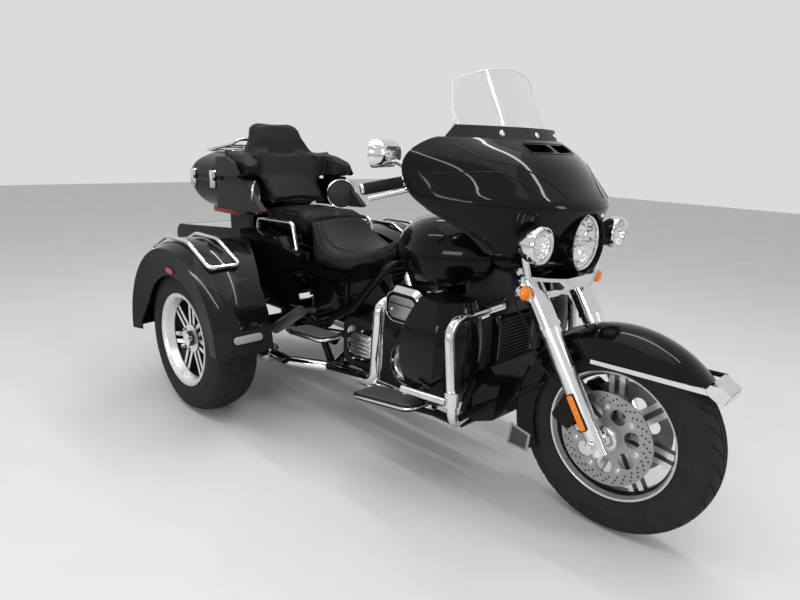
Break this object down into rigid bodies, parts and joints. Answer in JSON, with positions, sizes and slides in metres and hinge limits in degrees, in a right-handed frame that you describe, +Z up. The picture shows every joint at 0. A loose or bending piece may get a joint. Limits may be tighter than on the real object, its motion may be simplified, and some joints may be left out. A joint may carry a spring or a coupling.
{
  "type": "touring trike",
  "caption": "Full-dress motorized touring trike with a steered front wheel, fork-mounted fairing, V-twin engine, padded seats, top case and a trunk between wide rear fenders.",
  "frame": {"origin": "on the ground, midway along and across the trike, directly under the middle of its bounding box", "axes": "+X points forward, +Y to the rider's left, +Z up; the front axle is at x 1.015 m and the rear axle at x -0.655 m"},
  "size_m": [2.6698, 1.39, 1.43],
  "materials": {
    "paint_dark": "deep gloss near-black paint",
    "frame_black": "gloss black coating",
    "engine_black": "black crinkle finish",
    "chrome": "polished chrome",
    "wheel_metal": "machined faces with dark pockets",
    "disc_steel": "brushed",
    "tyre": "matte black rubber",
    "seat": "black vinyl with stitched seams",
    "grip_rubber": "matte black",
    "plastic": "fine-textured black",
    "lamp_clear": "chrome shell behind a clear lens",
    "lamp_amber": "amber lens",
    "lamp_red": "red lens",
    "screen": "clear with a light tint"
  },
  "bodies": {
    "chassis": {"frame": "frame_black", "crankcase": "engine_black", "cylinders": "engine_black", "rocker_boxes": "chrome", "engine_covers": "chrome", "air_cleaner": "chrome", "exhaust_pipes": "chrome", "mufflers": "chrome", "engine_guard": "chrome", "lower_fairings": "paint_dark", "highway_pegs": "chrome", "chin_cover": "frame_black", "fuel_tank": "paint_dark", "tank_console": "chrome", "rider_seat": "seat", "passenger_seat": "seat", "side_covers": "paint_dark", "trunk_body": "paint_dark", "rear_fenders": "paint_dark", "body_rails": "chrome", "top_case": "paint_dark", "speaker_pods": "plastic", "tail_lamps": "lamp_red", "rear_bumper": "engine_black", "rear_axle": "frame_black", "shock_absorbers": "chrome", "drive_belt": "grip_rubber", "footboards": "grip_rubber", "foot_pedals": "frame_black"},
    "steering": {"fork_sliders": "chrome", "fork_covers": "chrome", "fork_clamps": "chrome", "brake_callipers": "disc_steel", "front_fender": "paint_dark", "fender_trim": "chrome", "headlamp": "lamp_clear", "passing_lamps": "lamp_clear", "lamp_bracket": "frame_black", "turn_signals": "lamp_amber", "outer_fairing": "paint_dark", "inner_fairing": "plastic", "windshield": "screen", "windshield_trim": "plastic", "handlebar": "chrome", "hand_grips": "grip_rubber", "hand_controls": "chrome", "mirrors": "chrome", "brake_line": "grip_rubber"},
    "front_wheel": {"front_tyre": "tyre", "front_rim": "wheel_metal", "front_discs": "disc_steel"},
    "rear_wheel_left": {"rear_tyre_left": "tyre", "rear_rim_left": "wheel_metal"},
    "rear_wheel_right": {"rear_tyre_right": "tyre", "rear_rim_right": "wheel_metal"},
    "top_case_lid": {"top_case_lid": "paint_dark", "luggage_rack": "chrome", "lid_fittings": "chrome", "backrest": "seat"},
    "trunk_door": {"trunk_door": "paint_dark"}
  },
  "joints": [
    {"name": "steering", "type": "hinge", "parent": "chassis", "child": "steering", "pos_m": [1.114, 0, 0], "axis": [-0.4384, 0, 0.8988], "range_deg": [-35, 35]},
    {"name": "front_wheel_spin", "type": "hinge", "parent": "steering", "child": "front_wheel", "pos_m": [1.015, 0, 0.32], "axis": [0, 1, 0], "continuous": true},
    {"name": "rear_wheel_left_spin", "type": "hinge", "parent": "chassis", "child": "rear_wheel_left", "pos_m": [-0.655, 0.545, 0.324], "axis": [0, 1, 0], "continuous": true},
    {"name": "rear_wheel_right_spin", "type": "hinge", "parent": "chassis", "child": "rear_wheel_right", "pos_m": [-0.655, -0.545, 0.324], "axis": [0, 1, 0], "continuous": true},
    {"name": "lid_hinge", "type": "hinge", "parent": "chassis", "child": "top_case_lid", "pos_m": [-1.064, 0.325, 1], "axis": [1, 0, 0], "range_deg": [-70, 0]},
    {"name": "trunk_hinge", "type": "hinge", "parent": "chassis", "child": "trunk_door", "pos_m": [-1.305, 0, 0.432], "axis": [0, 1, 0], "range_deg": [-95, 0]}
  ]
}
